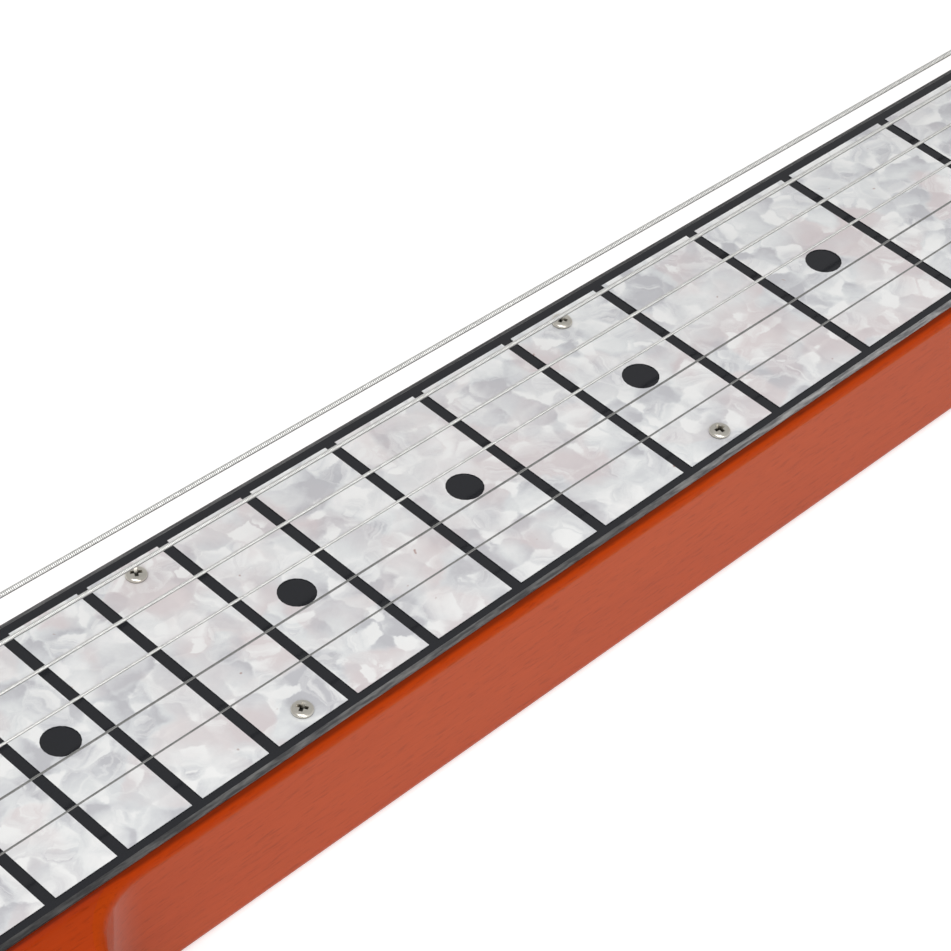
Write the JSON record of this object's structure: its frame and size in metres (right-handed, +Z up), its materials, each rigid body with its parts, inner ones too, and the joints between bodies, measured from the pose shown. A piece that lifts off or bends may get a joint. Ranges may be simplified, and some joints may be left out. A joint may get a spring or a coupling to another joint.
{
  "type": "lap steel guitar",
  "caption": "Solid-body electric lap steel guitar: glossy red-orange mahogany, pearl board with engraved frets and dots, wound strings and open-gear tuners.",
  "frame": {"origin": "under the middle of the bounding box, on the plane of the flat back", "axes": "+X from the tail to the headstock, +Y to the bass side, +Z up from the back to the strings"},
  "size_m": [0.8242, 0.196, 0.05],
  "materials": {
    "mahogany": "gloss, transparent red-orange lacquer on mahogany",
    "pearl_board": "gloss pearl plastic with engraved black lines",
    "bone": "satin bone",
    "chrome_plate": "polished chrome plate",
    "nickel_plate": "worn nickel plate",
    "steel": "plain steel",
    "brass": "satin brass",
    "copper_wire": "lacquered copper wire, taped",
    "magnet": "dull magnet alloy",
    "black_plastic": "gloss black",
    "cream_plastic": "gloss cream",
    "brown_lacquer": "dipped brown lacquer"
  },
  "bodies": {
    "guitar": {"body_neck": "mahogany", "fretboard": "pearl_board", "nut": "bone", "bridge_base": "chrome_plate", "saddle_rod": "steel", "pickup_frame": "black_plastic", "pickup_cover": "chrome_plate", "pickup_bobbin": "black_plastic", "pickup_coil": "copper_wire", "pickup_magnet": "magnet", "pickup_baseplate": "steel", "control_plate": "chrome_plate", "volume_pot": "steel", "tone_pot": "steel", "tone_capacitor": "brown_lacquer", "jack_plate": "chrome_plate", "jack_socket": "nickel_plate", "jack_nut": "chrome_plate", "tuner_plate_bass": "nickel_plate", "tuner_plate_treble": "nickel_plate", "string_1": "steel", "post_bushing_1": "chrome_plate", "string_2": "steel", "post_bushing_2": "chrome_plate", "string_3": "steel", "post_bushing_3": "chrome_plate", "string_4": "steel", "post_bushing_4": "chrome_plate", "string_5": "steel", "post_bushing_5": "chrome_plate", "string_6": "steel", "post_bushing_6": "chrome_plate"},
    "volume": {"volume_shaft": "brass", "volume_knob": "black_plastic"},
    "tone": {"tone_shaft": "brass", "tone_knob": "black_plastic"},
    "worm_1": {"tuner_worm_1": "nickel_plate", "tuner_button_1": "cream_plastic"},
    "post_1": {"tuner_post_1": "nickel_plate", "tuner_gear_1": "brass"},
    "worm_2": {"tuner_worm_2": "nickel_plate", "tuner_button_2": "cream_plastic"},
    "post_2": {"tuner_post_2": "nickel_plate", "tuner_gear_2": "brass"},
    "worm_3": {"tuner_worm_3": "nickel_plate", "tuner_button_3": "cream_plastic"},
    "post_3": {"tuner_post_3": "nickel_plate", "tuner_gear_3": "brass"},
    "worm_4": {"tuner_worm_4": "nickel_plate", "tuner_button_4": "cream_plastic"},
    "post_4": {"tuner_post_4": "nickel_plate", "tuner_gear_4": "brass"},
    "worm_5": {"tuner_worm_5": "nickel_plate", "tuner_button_5": "cream_plastic"},
    "post_5": {"tuner_post_5": "nickel_plate", "tuner_gear_5": "brass"},
    "worm_6": {"tuner_worm_6": "nickel_plate", "tuner_button_6": "cream_plastic"},
    "post_6": {"tuner_post_6": "nickel_plate", "tuner_gear_6": "brass"}
  },
  "joints": [
    {"name": "volume_turn", "type": "hinge", "parent": "guitar", "child": "volume", "pos_m": [-0.2784, -0.066, 0.0326], "axis": [0, 0, 1], "range_deg": [-150, 150]},
    {"name": "tone_turn", "type": "hinge", "parent": "guitar", "child": "tone", "pos_m": [-0.3364, -0.066, 0.0326], "axis": [0, 0, 1], "range_deg": [-150, 150]},
    {"name": "button_turn_1", "type": "hinge", "parent": "guitar", "child": "worm_1", "pos_m": [0.2979, -0.021, 0.0086], "axis": [0, 1, 0], "continuous": true},
    {"name": "post_turn_1", "type": "hinge", "parent": "guitar", "child": "post_1", "pos_m": [0.2901, -0.021, 0.0086], "axis": [0, 0, 1], "continuous": true},
    {"name": "button_turn_2", "type": "hinge", "parent": "guitar", "child": "worm_2", "pos_m": [0.3379, -0.021, 0.0086], "axis": [0, 1, 0], "continuous": true},
    {"name": "post_turn_2", "type": "hinge", "parent": "guitar", "child": "post_2", "pos_m": [0.3301, -0.021, 0.0086], "axis": [0, 0, 1], "continuous": true},
    {"name": "button_turn_3", "type": "hinge", "parent": "guitar", "child": "worm_3", "pos_m": [0.3779, -0.021, 0.0086], "axis": [0, 1, 0], "continuous": true},
    {"name": "post_turn_3", "type": "hinge", "parent": "guitar", "child": "post_3", "pos_m": [0.3701, -0.021, 0.0086], "axis": [0, 0, 1], "continuous": true},
    {"name": "button_turn_4", "type": "hinge", "parent": "guitar", "child": "worm_4", "pos_m": [0.3779, 0.021, 0.0086], "axis": [0, 1, 0], "continuous": true},
    {"name": "post_turn_4", "type": "hinge", "parent": "guitar", "child": "post_4", "pos_m": [0.3701, 0.021, 0.0086], "axis": [0, 0, 1], "continuous": true},
    {"name": "button_turn_5", "type": "hinge", "parent": "guitar", "child": "worm_5", "pos_m": [0.3379, 0.021, 0.0086], "axis": [0, 1, 0], "continuous": true},
    {"name": "post_turn_5", "type": "hinge", "parent": "guitar", "child": "post_5", "pos_m": [0.3301, 0.021, 0.0086], "axis": [0, 0, 1], "continuous": true},
    {"name": "button_turn_6", "type": "hinge", "parent": "guitar", "child": "worm_6", "pos_m": [0.2979, 0.021, 0.0086], "axis": [0, 1, 0], "continuous": true},
    {"name": "post_turn_6", "type": "hinge", "parent": "guitar", "child": "post_6", "pos_m": [0.2901, 0.021, 0.0086], "axis": [0, 0, 1], "continuous": true}
  ],
  "couplings": [
    {"joint": "post_turn_1", "follows": "button_turn_1", "ratio": 0.0625},
    {"joint": "post_turn_2", "follows": "button_turn_2", "ratio": 0.0625},
    {"joint": "post_turn_3", "follows": "button_turn_3", "ratio": 0.0625},
    {"joint": "post_turn_4", "follows": "button_turn_4", "ratio": -0.0625},
    {"joint": "post_turn_5", "follows": "button_turn_5", "ratio": -0.0625},
    {"joint": "post_turn_6", "follows": "button_turn_6", "ratio": -0.0625}
  ]
}
